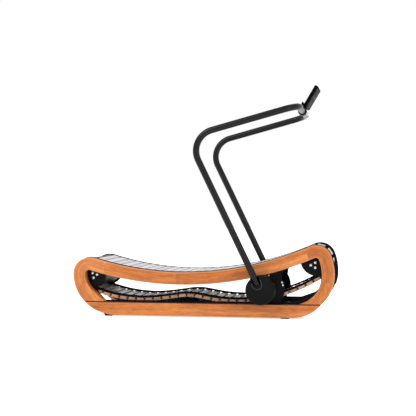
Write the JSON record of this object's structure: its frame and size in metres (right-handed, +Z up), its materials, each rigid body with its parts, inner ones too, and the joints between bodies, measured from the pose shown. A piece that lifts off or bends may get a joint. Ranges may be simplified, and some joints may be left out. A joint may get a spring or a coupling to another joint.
{
  "type": "curved manual treadmill",
  "caption": "Curved manual treadmill with wooden hoop sides, a slat belt over two drums, and a bent black handlebar with a tablet holder.",
  "frame": {"origin": "on the floor under the middle of the machine", "axes": "+X towards the front of the machine, +Y to the runner's left, +Z up"},
  "size_m": [1.7295, 0.841, 1.5189],
  "materials": {
    "oiled_wood": "oiled, satin",
    "black_steel": "black powder coat",
    "slat_tread": "light grey tread on wooden slats",
    "black_rubber": "matt",
    "gloss_tube": "black gloss",
    "black_plastic": "fine texture",
    "tray_plastic": "satin",
    "zinc_steel": "zinc plated"
  },
  "bodies": {
    "frame": {"wood_hoop_right": "oiled_wood", "wood_runner_right": "oiled_wood", "side_plate_right": "black_steel", "foot_rear_right": "black_rubber", "foot_front_right": "black_rubber", "axle_clamp_front_right": "black_steel", "axle_clamp_rear_right": "black_steel", "handle_mount_right": "black_steel", "hub_cover_right": "black_plastic", "drive_belt_right": "black_rubber", "roller_stand_right": "black_steel", "wood_hoop_left": "oiled_wood", "wood_runner_left": "oiled_wood", "side_plate_left": "black_steel", "foot_rear_left": "black_rubber", "foot_front_left": "black_rubber", "axle_clamp_front_left": "black_steel", "axle_clamp_rear_left": "black_steel", "handle_mount_left": "black_steel", "hub_cover_left": "black_plastic", "drive_belt_left": "black_rubber", "roller_stand_left": "black_steel", "cross_tube_rear": "black_steel", "cross_tube_middle": "black_steel", "cross_tube_front": "black_steel", "cross_tube_handle": "black_steel", "front_axle": "zinc_steel", "rear_axle": "zinc_steel", "slat_belt": "slat_tread", "handlebar": "gloss_tube"},
    "front_drum": {"front_drum": "black_steel", "front_bearing_right": "zinc_steel", "front_bearing_left": "zinc_steel"},
    "rear_drum": {"rear_drum": "black_steel", "rear_bearing_right": "zinc_steel", "rear_bearing_left": "zinc_steel"},
    "tablet_holder": {"tablet_clamp": "black_plastic", "clamp_screw": "zinc_steel", "tablet_tray": "tray_plastic", "tablet_ledge": "black_plastic"},
    "deck_roller_01": {"deck_roller_01": "black_rubber"},
    "deck_roller_02": {"deck_roller_02": "black_rubber"},
    "deck_roller_03": {"deck_roller_03": "black_rubber"},
    "deck_roller_04": {"deck_roller_04": "black_rubber"},
    "deck_roller_05": {"deck_roller_05": "black_rubber"},
    "deck_roller_06": {"deck_roller_06": "black_rubber"},
    "deck_roller_07": {"deck_roller_07": "black_rubber"},
    "deck_roller_08": {"deck_roller_08": "black_rubber"},
    "deck_roller_09": {"deck_roller_09": "black_rubber"},
    "deck_roller_10": {"deck_roller_10": "black_rubber"},
    "deck_roller_11": {"deck_roller_11": "black_rubber"},
    "deck_roller_12": {"deck_roller_12": "black_rubber"},
    "return_roller_front": {"return_roller_front": "black_rubber"},
    "return_roller_rear": {"return_roller_rear": "black_rubber"}
  },
  "joints": [
    {"name": "front_drum_spin", "type": "hinge", "parent": "frame", "child": "front_drum", "pos_m": [0.725, 0, 0.356], "axis": [0, 1, 0], "continuous": true},
    {"name": "rear_drum_spin", "type": "hinge", "parent": "frame", "child": "rear_drum", "pos_m": [-0.742, 0, 0.269], "axis": [0, 1, 0], "continuous": true},
    {"name": "tablet_tilt", "type": "hinge", "parent": "frame", "child": "tablet_holder", "pos_m": [0.635, 0, 1.358], "axis": [0, 1, 0], "range_deg": [-25, 30]},
    {"name": "deck_roller_01_spin", "type": "hinge", "parent": "frame", "child": "deck_roller_01", "pos_m": [-0.60721, 0, 0.29781], "axis": [0, 1, 0], "continuous": true},
    {"name": "deck_roller_02_spin", "type": "hinge", "parent": "frame", "child": "deck_roller_02", "pos_m": [-0.49912, 0, 0.27578], "axis": [0, 1, 0], "continuous": true},
    {"name": "deck_roller_03_spin", "type": "hinge", "parent": "frame", "child": "deck_roller_03", "pos_m": [-0.39003, 0, 0.2594], "axis": [0, 1, 0], "continuous": true},
    {"name": "deck_roller_04_spin", "type": "hinge", "parent": "frame", "child": "deck_roller_04", "pos_m": [-0.28024, 0, 0.24872], "axis": [0, 1, 0], "continuous": true},
    {"name": "deck_roller_05_spin", "type": "hinge", "parent": "frame", "child": "deck_roller_05", "pos_m": [-0.17003, 0, 0.24377], "axis": [0, 1, 0], "continuous": true},
    {"name": "deck_roller_06_spin", "type": "hinge", "parent": "frame", "child": "deck_roller_06", "pos_m": [-0.05972, 0, 0.24456], "axis": [0, 1, 0], "continuous": true},
    {"name": "deck_roller_07_spin", "type": "hinge", "parent": "frame", "child": "deck_roller_07", "pos_m": [0.0504, 0, 0.25109], "axis": [0, 1, 0], "continuous": true},
    {"name": "deck_roller_08_spin", "type": "hinge", "parent": "frame", "child": "deck_roller_08", "pos_m": [0.16003, 0, 0.26335], "axis": [0, 1, 0], "continuous": true},
    {"name": "deck_roller_09_spin", "type": "hinge", "parent": "frame", "child": "deck_roller_09", "pos_m": [0.26887, 0, 0.28129], "axis": [0, 1, 0], "continuous": true},
    {"name": "deck_roller_10_spin", "type": "hinge", "parent": "frame", "child": "deck_roller_10", "pos_m": [0.37663, 0, 0.30487], "axis": [0, 1, 0], "continuous": true},
    {"name": "deck_roller_11_spin", "type": "hinge", "parent": "frame", "child": "deck_roller_11", "pos_m": [0.48302, 0, 0.33403], "axis": [0, 1, 0], "continuous": true},
    {"name": "deck_roller_12_spin", "type": "hinge", "parent": "frame", "child": "deck_roller_12", "pos_m": [0.58775, 0, 0.36868], "axis": [0, 1, 0], "continuous": true},
    {"name": "return_roller_front_spin", "type": "hinge", "parent": "frame", "child": "return_roller_front", "pos_m": [-0.062, 0, 0.1015], "axis": [0, 1, 0], "continuous": true},
    {"name": "return_roller_rear_spin", "type": "hinge", "parent": "frame", "child": "return_roller_rear", "pos_m": [-0.138, 0, 0.1015], "axis": [0, 1, 0], "continuous": true}
  ],
  "couplings": [
    {"joint": "rear_drum_spin", "follows": "front_drum_spin", "ratio": 1},
    {"joint": "deck_roller_01_spin", "follows": "front_drum_spin", "ratio": 5.1333},
    {"joint": "deck_roller_02_spin", "follows": "front_drum_spin", "ratio": 5.1333},
    {"joint": "deck_roller_03_spin", "follows": "front_drum_spin", "ratio": 5.1333},
    {"joint": "deck_roller_04_spin", "follows": "front_drum_spin", "ratio": 5.1333},
    {"joint": "deck_roller_05_spin", "follows": "front_drum_spin", "ratio": 5.1333},
    {"joint": "deck_roller_06_spin", "follows": "front_drum_spin", "ratio": 5.1333},
    {"joint": "deck_roller_07_spin", "follows": "front_drum_spin", "ratio": 5.1333},
    {"joint": "deck_roller_08_spin", "follows": "front_drum_spin", "ratio": 5.1333},
    {"joint": "deck_roller_09_spin", "follows": "front_drum_spin", "ratio": 5.1333},
    {"joint": "deck_roller_10_spin", "follows": "front_drum_spin", "ratio": 5.1333},
    {"joint": "deck_roller_11_spin", "follows": "front_drum_spin", "ratio": 5.1333},
    {"joint": "deck_roller_12_spin", "follows": "front_drum_spin", "ratio": 5.1333},
    {"joint": "return_roller_front_spin", "follows": "front_drum_spin", "ratio": -3.5},
    {"joint": "return_roller_rear_spin", "follows": "front_drum_spin", "ratio": -3.5}
  ]
}
